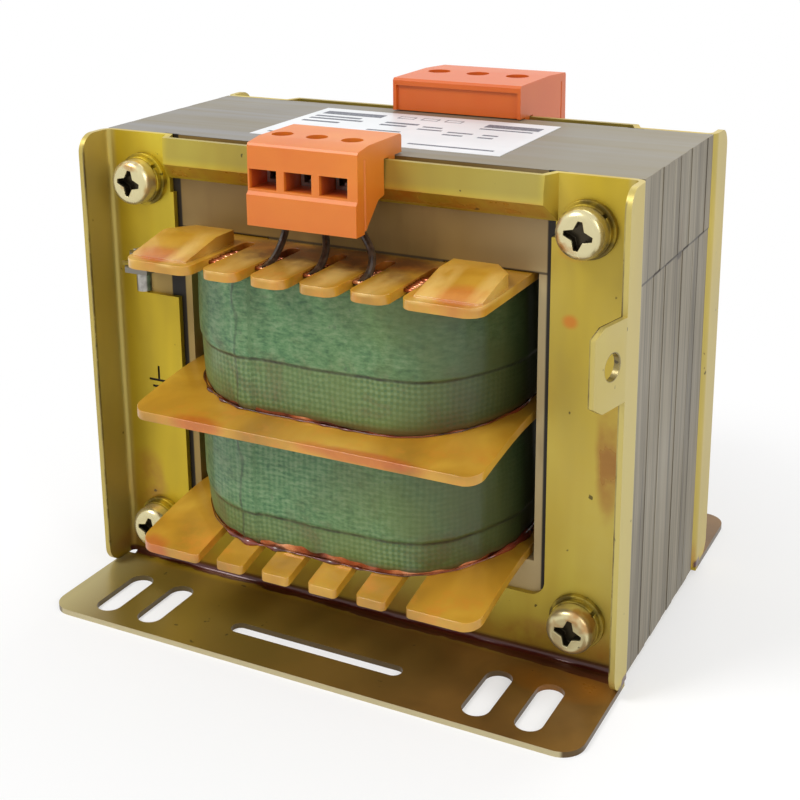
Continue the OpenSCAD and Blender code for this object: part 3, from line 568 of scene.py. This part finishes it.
def orangeNylon():
    # unfilled nylon, moulded: even orange, half matt, slightly clear at thin walls, with a fine
    # grain and faint flow marks
    mat, tree, shader, place = newMaterial("orangeNylon", {
        "Roughness": 0.4, "Subsurface Weight": 0.15, "Subsurface Scale": 2.5 * mm,
        "Subsurface Radius": (1.0, 0.35, 0.12), "Coat Weight": 0.08, "Coat Roughness": 0.3})
    cloud = noise(tree, place, 12, 3)
    spark = noise(tree, place, 0.8, 2)
    x, y, z = add(tree, "SeparateXYZ", {0: place}, out=None)
    colour = ramp(tree, cloud, (0.3, moulded["low"]), (0.7, moulded["high"]))
    # the rear block painted darker and redder: painted shade, as it stands behind
    back = zone(tree, y, moulded["rearFrom"], 1000, 2)
    (x0, x1), (y0, y1), (z0, z1) = moulded["entries"]
    entry = region(tree, (y, y0, y1, 0.5), (z, z0, z1, 0.3), (x, x0, x1, 0.3))
    colour = coats(tree, colour, [(back, moulded["rear"], 0.65), (entry, moulded["shade"], 0.75)])
    relief = calc(tree, "MULTIPLY_ADD", cloud, 3.0, spark)
    finishWith(tree, shader, colour, None, relief, 0.12, 0.06)
    return mat


def nickelPlate():
    # nickel over steel: grey with a little warmth, faint turning marks and tarnish
    mat, tree, shader, place = newMaterial("nickelPlate", {"Roughness": 0.32, "Metallic": 0.9})
    cloud = noise(tree, place, 1.5, 4, roughness=0.6)
    mark = noise(tree, place, 0.5, 2)
    colour = ramp(tree, cloud, (0.3, "#77736B"), (0.62, "#B4B0A8"))
    finishWith(tree, shader, colour, None, mark, 0.15, 0.03)
    return mat


def polyesterLabel():
    # white polyester film: satin, with a faint unevenness from the glue below
    mat, tree, shader, place = newMaterial("polyesterLabel", {"Roughness": 0.35})
    cloud = noise(tree, place, 8, 3)
    colour = ramp(tree, cloud, (0.3, "#DADDDF"), (0.7, "#E6E8EA"))
    finishWith(tree, shader, colour, None, cloud, 0.08, 0.1)
    return mat


def labelInk():
    # thermal print: dark grey, a little broken up
    mat, tree, shader, place = newMaterial("thermalPrint", {"Roughness": 0.5})
    broken = noise(tree, place, 0.5, 3, roughness=0.7)
    colour = ramp(tree, broken, (0.35, "#7C7F88"), (0.6, "#4A4D57"))
    finishWith(tree, shader, colour)
    return mat


def glassSleeve():
    # varnished glass sleeving: nearly black, with a fine braid that shows as a small ripple
    mat, tree, shader, place = newMaterial("varnishedSleeve", {
        "Roughness": 0.35, "Coat Weight": 0.3, "Coat Roughness": 0.15})
    braid = noise(tree, place, 0.8, 2)
    colour = ramp(tree, braid, (0.35, "#2A1E16"), (0.65, "#4E3C2C"))
    finishWith(tree, shader, colour, None, braid, 0.4, 0.1)
    return mat


def seamAt(node):
    # where a wrapping's end lies along its outline, in mm
    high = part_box(node)[1]
    r = tape["corner"]
    around = 4 * (high.x + high.y + 2 * tape["skin"] - 2 * r) + math.tau * r
    return tape["seam"] * around / mm


upperLap, lowerLap = 0.40, 0.26    # heights of the lap lines, as shares of each winding's height
windingHeight = (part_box("upper_tape")[1].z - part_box("upper_tape")[0].z) / mm
upperLapAt, lowerLapAt = upperLap * windingHeight, lowerLap * windingHeight
finishes = {
    "frame": yellowZinc("yellowZincPressing", isFrame=True),
    "fastener": yellowZinc("yellowZincFastener"),
    "bolt": yellowZinc("yellowZincBolt", isBolt=True),
    "stack": siliconSteelStack(),
    "bobbin": varnishedNylon(),
    "upperTape": wovenGlassTape("wovenGlassTapeUpper", upperLapAt, 0.12, seamAt("upper_tape")),
    "lowerTape": wovenGlassTape("wovenGlassTapeLower", lowerLapAt, 0.7, seamAt("lower_tape")),
    "copper": enamelledCopper(),
    "varnish": redVarnish(),
    "block": orangeNylon(),
    "nickel": nickelPlate(),
    "label": polyesterLabel(),
    "ink": labelInk(),
    "sleeve": glassSleeve(),
}
print("materials made")


def dress(obj, finish):
    obj.data.materials.clear()
    obj.data.materials.append(finishes[finish])


def newPiece(name, points, faces, finish, smooth=True):
    # points and faces into a mesh that rides on the body
    mesh = bpy.data.meshes.new(name)
    mesh.from_pydata(points.tolist(), [], faces if isinstance(faces, list) else faces.tolist())
    mesh.validate()
    obj = newObject(name, mesh)
    mesh.polygons.foreach_set("use_smooth", [smooth] * len(mesh.polygons))
    dress(obj, finish)
    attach(obj, "root")
    return obj


def gridFaces(rows, cols, wrapRows, wrapCols):
    # quads between neighbouring points of a grid, wrapping round where asked
    i = np.arange(rows if wrapRows else rows - 1)
    j = np.arange(cols if wrapCols else cols - 1)
    i, j = [k.ravel() for k in np.meshgrid(i, j, indexing="ij")]
    ni, nj = (i + 1) % rows, (j + 1) % cols
    return np.stack([i * cols + j, ni * cols + j, ni * cols + nj, i * cols + nj], axis=1)


def softened(nodeName, width, segments, finish, limit=28):
    # copy of a node's mesh with its flat faces joined and its edges rounded by width
    mesh = nodes[nodeName].data.copy()
    bm = bmesh.new()
    bm.from_mesh(mesh)
    bmesh.ops.remove_doubles(bm, verts=bm.verts, dist=0.002 * mm)
    bmesh.ops.dissolve_limit(bm, angle_limit=math.radians(0.6), verts=bm.verts, edges=bm.edges)
    bm.to_mesh(mesh)
    bm.free()
    obj = newObject(nodeName + "Soft", mesh)
    edge = obj.modifiers.new("edges", "BEVEL")
    edge.width, edge.segments, edge.limit_method = width, segments, "ANGLE"
    edge.angle_limit = math.radians(limit)
    mesh.polygons.foreach_set("use_smooth", [True] * len(mesh.polygons))
    normals = obj.modifiers.new("normals", "WEIGHTED_NORMAL")
    normals.keep_sharp = False
    dress(obj, finish)
    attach(obj, "root")
    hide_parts(nodeName)
    return obj


frameEdges = {"sheet": 0.18 * mm, "segments": 2}
for side in ("front", "rear"):
    softened(side + "_frame", frameEdges["sheet"], frameEdges["segments"], "frame")
for node in ("e_laminations", "i_laminations"):
    dress(nodes[node], "stack")
print("core and frames dressed")

bobbinEdges = {"width": 0.55 * mm, "segments": 3}
softened("bobbin", bobbinEdges["width"], bobbinEdges["segments"], "bobbin")
print("bobbin dressed")


def outline(halfX, halfY, radius, count):
    # points round a rectangle with round corners, evenly spaced by arc length, with outward normals
    straightX, straightY = 2 * (halfX - radius), 2 * (halfY - radius)
    arc = math.pi * radius / 2
    s = np.arange(count) / count * (2 * (straightX + straightY) + 4 * arc)
    legs = [(straightX, (-halfX + radius, -halfY), (1, 0), None),
            (arc, (halfX - radius, -halfY + radius), None, -90),
            (straightY, (halfX, -halfY + radius), (0, 1), None),
            (arc, (halfX - radius, halfY - radius), None, 0),
            (straightX, (halfX - radius, halfY), (-1, 0), None),
            (arc, (-halfX + radius, halfY - radius), None, 90),
            (straightY, (-halfX, halfY - radius), (0, -1), None),
            (arc, (-halfX + radius, -halfY + radius), None, 180)]
    points, normals, start = np.zeros((count, 2)), np.zeros((count, 2)), 0.0
    for length, at, way, angle in legs:
        mask = (s >= start - 1e-12) & (s < start + length)
        t = s[mask] - start
        if way:
            points[mask] = np.array(at) + t[:, None] * np.array(way)
            normals[mask] = (way[1], -way[0])
        else:
            a = math.radians(angle) + t / radius
            n = np.stack([np.cos(a), np.sin(a)], axis=1)
            points[mask], normals[mask] = np.array(at) + radius * n, n
        start += length
    return points, normals, s


def droop(y, drop):
    # how far a flange hangs down at depth y: its drop times its reach to the power 1.4
    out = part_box("bobbin")[1].y - halfDepth
    reach = np.clip((np.abs(y) - halfDepth - 2 * mm) / (out - 2 * mm), 0, None)
    return drop * reach ** 1.4


def tapedWinding(node, seed, dropLow, dropHigh, lapShare, finish):
    # a closed band: the outline carried up the winding's height, pushed out by a sum of slow
    # cosine waves, small wrinkles and a smooth step at the lap, and turned in at both edges
    low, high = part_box(node)
    halfX, halfY = high.x + tape["skin"], high.y + tape["skin"]
    xy, n, s = outline(halfX, halfY, tape["corner"], tape["steps"])
    rng = np.random.default_rng(seed)
    v = np.linspace(0, 1, tape["rows"])
    u = s / s[-1] * math.tau
    waves = np.zeros((tape["rows"], tape["steps"]))
    for k in range(1, 15):
        lift = rng.normal() / k ** 0.8
        waves += lift * np.cos(k * u + rng.uniform(0, 6.28))[None, :] * np.cos(
            math.pi * rng.integers(0, 3) * v + rng.uniform(0, 6.28))[:, None]
    for k in range(6, 70, 4):
        waves += 0.10 * rng.normal() * np.cos(k * u[None, :] + 5 * v[:, None] * rng.uniform(-1, 1)
                                              + rng.uniform(0, 6.28))
    offset = tape["waves"] * waves / 2.2
    bulge = tape["bulge"] * np.sin(math.pi * v) ** 0.7
    lapAt = lapShare + 0.012 * np.sin(3 * u) + 0.006 * np.sin(11 * u + 1)
    lap = tape["lap"] / (1 + np.exp(-(v[:, None] - lapAt[None, :]) * 220))
    startLap = tape["lap"] * 0.8 / (1 + np.exp(-(u - tape["seam"] * u[-1]) * 260))
    offset = np.clip(offset, -0.35 * mm, 0.5 * mm) + bulge[:, None] + lap + startLap[None, :] - tape["sunk"]
    offset = offset - tape["tuck"] * (np.exp(-v / 0.03) + np.exp(-(1 - v) / 0.03))[:, None]
    px = xy[None, :, 0] + n[None, :, 0] * offset
    py = xy[None, :, 1] + n[None, :, 1] * offset
    zLow = low.z + droop(halfY, dropLow) - droop(py[0], dropLow)
    zHigh = high.z - droop(py[-1], dropHigh)
    pz = zLow[None, :] + (zHigh - zLow)[None, :] * v[:, None]
    inner = xy - n * tape["inner"]
    bottomIn = np.column_stack([inner, pz[0]])
    topIn = np.column_stack([inner, pz[-1]])
    rows = np.concatenate([bottomIn[None], np.stack([px, py, pz], axis=2), topIn[None]])
    faces = gridFaces(rows.shape[0], tape["steps"], True, True)[:, ::-1]
    piece = newPiece(node + "Wrap", rows.reshape(-1, 3), faces, finish)
    lapLevel = v * (high.z - low.z)
    vMetres = np.concatenate([[0.0], lapLevel, [high.z - low.z]])
    layer = piece.data.uv_layers.new(name="cloth")
    loops = np.zeros(len(piece.data.loops), dtype=int)
    piece.data.loops.foreach_get("vertex_index", loops)
    row, col = loops // tape["steps"], loops % tape["steps"]
    drift = (lapAt - lapShare)[col] * (high.z - low.z)
    uv = np.stack([s[col], vMetres[row] - drift], axis=1)
    layer.data.foreach_set("uv", uv.astype(np.float32).ravel())
    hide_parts(node)
    return piece


def sweptLoop(xy, z, radius, sides):
    # a closed tube: circles of the given radii carried round a closed path, each circle standing
    # in the plane of the path's outward normal and the upright
    step = np.roll(xy, -1, axis=0) - np.roll(xy, 1, axis=0)
    step /= np.linalg.norm(step, axis=1)[:, None]
    out = np.column_stack([step[:, 1], -step[:, 0]])
    a = np.arange(sides) / sides * math.tau
    side = (radius[:, None] * np.cos(a))[:, :, None] * out[:, None, :]
    lift = radius[:, None] * np.sin(a)
    points = np.concatenate([xy[:, None, :] + side, (z[:, None] + lift)[:, :, None]], axis=2)
    return points.reshape(-1, 3), gridFaces(len(xy), sides, True, True)[:, ::-1]


varnishBead = {"lift": 0.1 * mm, "out": 0.1 * mm, "stray": 0.3 * mm, "thinnest": 0.12 * mm,
               "steps": 420, "sides": 8}


def beadRound(node, name, drop, radius, seed):
    # varnish that ran down a winding and set in a thick bead on the flange below: the winding's
    # outline as a tube whose radius and path wander by a sum of cosine waves
    s = varnishBead
    low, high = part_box(node)
    xy, n, t = outline(high.x + s["out"], high.y + s["out"], tape["corner"], s["steps"])
    rng = np.random.default_rng(seed)
    u = t / t[-1] * math.tau
    wander = np.zeros(s["steps"])
    for k in range(2, 60, 3):
        wander += rng.normal() / k ** 0.35 * np.cos(k * u + rng.uniform(0, 6.28))
    wander /= np.abs(wander).max()
    xy = xy + n * (s["stray"] * wander - s["stray"])[:, None]
    z = low.z + droop(high.y, drop) - droop(xy[:, 1], drop) + s["lift"]
    thick = np.maximum(radius * (0.4 + 1.9 * wander), s["thinnest"])
    points, faces = sweptLoop(xy, z, thick, s["sides"])
    newPiece(name, points, faces, "varnish")


wireTurns = {
    "half": 1.8 * mm,    # half the length of a piece of wire
    "pitch": 1.2 * mm, "radius": 0.54 * mm, "turns": 9, "sides": 10,
    "outermost": 21.6 * mm,    # from the core's face
    "sink": 0.9 * mm,    # below the top of the flange
    "flange": 2.4 * mm,    # thickness of the top flange, over the winding
}


def slotTurns():
    # the turns of wire that show in the slots of the top flange: short straight tubes along X,
    # one behind the other, a circle carried from one side of a slot to the other
    s = wireTurns
    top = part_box("upper_winding")[1].z + s["flange"]
    spread = np.meshgrid(np.arange(-2, 3), np.arange(s["turns"]), [-1, 1], indexing="ij")
    slot, turn, face = [k.ravel() for k in spread]
    rng = np.random.default_rng(11)
    x = slot * fingerPitch
    y = face * (halfDepth + s["outermost"] - turn * s["pitch"])
    z = top - s["sink"] + rng.uniform(-0.12, 0.12, len(x)) * mm
    a = np.arange(s["sides"]) / s["sides"] * math.tau
    ends = np.array([-1, 1]) * s["half"]
    points = np.stack(np.broadcast_arrays(
        x[:, None, None] + ends[None, :, None], y[:, None, None] + s["radius"] * np.cos(a)[None, None, :],
        z[:, None, None] + s["radius"] * np.sin(a)[None, None, :]), axis=3)
    wall = gridFaces(2, s["sides"], False, True)
    first = 2 * s["sides"] * np.arange(len(x))
    faces = [tuple(f) for f in (wall[None] + first[:, None, None]).reshape(-1, 4).tolist()]
    near, far = np.arange(s["sides"])[::-1], s["sides"] + np.arange(s["sides"])
    faces += [tuple(f) for f in np.concatenate([near + first[:, None], far + first[:, None]]).tolist()]
    piece = newPiece("slotTurns", points.reshape(-1, 3), faces, "copper")
    bm = bmesh.new()
    bm.from_mesh(piece.data)
    bmesh.ops.recalc_face_normals(bm, faces=bm.faces)
    bm.to_mesh(piece.data)
    bm.free()


flangeDrops = {"bottom": 5 * mm, "middle": 4 * mm, "top": 0.0}
tapedWinding("upper_tape", 3, flangeDrops["middle"], flangeDrops["top"], upperLap, "upperTape")
tapedWinding("lower_tape", 8, flangeDrops["bottom"], flangeDrops["middle"], lowerLap, "lowerTape")
beadRound("upper_tape", "upperBead", flangeDrops["middle"], 0.3 * mm, 5)
beadRound("lower_tape", "lowerBead", flangeDrops["bottom"], 0.65 * mm, 6)
slotTurns()
for node in ("upper_winding", "lower_winding"):
    dress(nodes[node], "copper")
print("windings wrapped")

blockEdges = {"width": 0.4 * mm, "segments": 3}
for side in ("front", "rear"):
    softened(side + "_housing", blockEdges["width"], blockEdges["segments"], "block")
    for kind in ("_cages", "_screws", "_tails"):
        dress(nodes[side + kind], "nickel")
    dress(nodes[side + "_leads"], "sleeve")
print("terminal blocks dressed")

fastenerEdges = {"bolts": 0.25 * mm, "washers": 0.15 * mm}
softened("clamp_bolts", fastenerEdges["bolts"], 2, "bolt", 40)
for node in ("spring_washers", "front_washers", "rear_washers", "clamp_nuts", "earth_washer"):
    softened(node, fastenerEdges["washers"], 2, "fastener", 40)
dress(nodes["earth_screw"], "nickel")
print("fasteners dressed")

labelPrint = {
    "thick": 0.03 * mm,
    # bars and frames as shares of the label: (x0, y0, x1, y1)
    "bars": [(0.04, 0.80, 0.30, 0.90), (0.04, 0.70, 0.24, 0.74), (0.04, 0.62, 0.27, 0.66),
             (0.04, 0.52, 0.20, 0.56), (0.36, 0.66, 0.50, 0.70), (0.36, 0.58, 0.47, 0.62),
             (0.53, 0.62, 0.61, 0.65), (0.53, 0.54, 0.63, 0.57), (0.36, 0.40, 0.50, 0.43),
             (0.36, 0.32, 0.46, 0.35), (0.66, 0.52, 0.76, 0.55), (0.66, 0.44, 0.74, 0.47),
             (0.80, 0.52, 0.86, 0.55), (0.80, 0.44, 0.86, 0.47), (0.74, 0.78, 0.96, 0.88),
             (0.74, 0.71, 0.95, 0.74), (0.04, 0.10, 0.30, 0.13), (0.62, 0.10, 0.95, 0.13)],
    "frames": [(0.36, 0.84, 0.43, 0.91), (0.46, 0.84, 0.53, 0.91), (0.56, 0.84, 0.63, 0.91),
               (0.36, 0.10, 0.44, 0.17), (0.47, 0.10, 0.55, 0.17)],
    "line": 0.0045,
}


def printOnLabel(s):
    # each bar or frame side is a thin block that lies on the film
    low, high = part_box("rating_label")
    rects = list(s["bars"])
    for x0, y0, x1, y1 in s["frames"]:
        t, k = s["line"], s["line"] * (high.x - low.x) / (high.y - low.y)
        rects += [(x0, y0, x1, y0 + k), (x0, y1 - k, x1, y1), (x0, y0 + k, x0 + t, y1 - k),
                  (x1 - t, y0 + k, x1, y1 - k)]
    r = np.array(rects)
    x = low.x + r[:, [0, 2]] * (high.x - low.x)
    y = low.y + r[:, [1, 3]] * (high.y - low.y)
    z = np.array([high.z, high.z + s["thick"]])
    corner = np.array([(i, j, k) for k in (0, 1) for j in (0, 1) for i in (0, 1)])
    points = np.stack([x[:, corner[:, 0]], y[:, corner[:, 1]],
                       np.broadcast_to(z[corner[:, 2]], (len(r), 8))], axis=2).reshape(-1, 3)
    cube = np.array([(0, 2, 3, 1), (4, 5, 7, 6), (0, 1, 5, 4), (2, 6, 7, 3), (0, 4, 6, 2), (1, 3, 7, 5)])
    faces = (cube[None] + 8 * np.arange(len(r))[:, None, None]).reshape(-1, 4)
    newPiece("labelPrint", points, faces, "ink", smooth=False)


printOnLabel(labelPrint)
dress(nodes["rating_label"], "label")
print("label printed")

lights = {
    "world": 0.5,
    "lamps": [("key", (-0.5, -0.6, 1.0), 0.5, 7.6), ("fill", (0.9, -0.4, 0.6), 0.6, 3.3),
              ("back", (0.1, 0.8, 0.9), 0.6, 4.0)],    # place, size, watts
    "floorSize": 3.0,
    "nearGlow": 0.5,    # share of plain white under the object, where the shadow stays
    "fade": (0.09, 0.22),    # distances between which the paper goes to plain white
    "aim": (0, 0, 0.06),    # what the lamps point at
}


def whiteFloor():
    # pale paper that fades to plain white away from the object, for the eye and in reflections
    mat = bpy.data.materials.new("palePaper")
    mat.use_nodes = True
    tree = mat.node_tree
    shader = tree.nodes["Principled BSDF"]
    shader.inputs["Base Color"].default_value = linear("#F8F8F8")
    shader.inputs["Roughness"].default_value = 0.9
    rays = add(tree, "LightPath", out=None)
    seen = union(tree, rays["Is Camera Ray"], rays["Is Glossy Ray"], rays["Is Transmission Ray"])
    place = add(tree, "TexCoord", out="Object")
    away = add(tree, "VectorMath", {0: place}, out=1, operation="LENGTH")
    near, far = lights["fade"]
    share = add(tree, "MapRange", {"Value": away, "From Min": near, "From Max": far,
                                   "To Min": lights["nearGlow"]}, interpolation_type="SMOOTHSTEP")
    plain = add(tree, "Emission", {"Strength": 1.0})
    mixed = add(tree, "MixShader", {0: product(tree, seen, share), 1: shader.outputs[0], 2: plain})
    tree.links.new(mixed, tree.nodes["Material Output"].inputs["Surface"])
    return mat


def addStage():
    # a flat floor and a world, both white to the eye and in reflections
    r = lights["floorSize"]
    mesh = bpy.data.meshes.new("floor")
    mesh.from_pydata([(-r, -r, 0), (r, -r, 0), (r, r, 0), (-r, r, 0)], [], [(0, 1, 2, 3)])
    floor = newObject("floor", mesh)
    mesh.materials.append(whiteFloor())
    world = bpy.data.worlds.new("studio")
    world.use_nodes = True
    tree = world.node_tree
    back = tree.nodes["Background"]
    back.inputs["Color"].default_value = (1, 1, 1, 1)
    rays = add(tree, "LightPath", out=None)
    seen = union(tree, rays["Is Camera Ray"], rays["Is Glossy Ray"], rays["Is Transmission Ray"])
    strength = add(tree, "MapRange", {"Value": seen, "To Min": lights["world"], "To Max": 1.0})
    tree.links.new(strength, back.inputs["Strength"])
    bpy.context.scene.world = world


def addLamps():
    for name, place, size, watts in lights["lamps"]:
        data = bpy.data.lights.new(name, "AREA")
        data.shape, data.size, data.energy = "DISK", size, watts
        lamp = newObject(name, data)
        lamp.location = place
        aim = Vector(lights["aim"]) - Vector(place)
        lamp.rotation_euler = aim.to_track_quat("-Z", "Y").to_euler()


addStage()
addLamps()
bpy.context.scene.view_settings.view_transform = "Standard"
print("stage and lights ready")
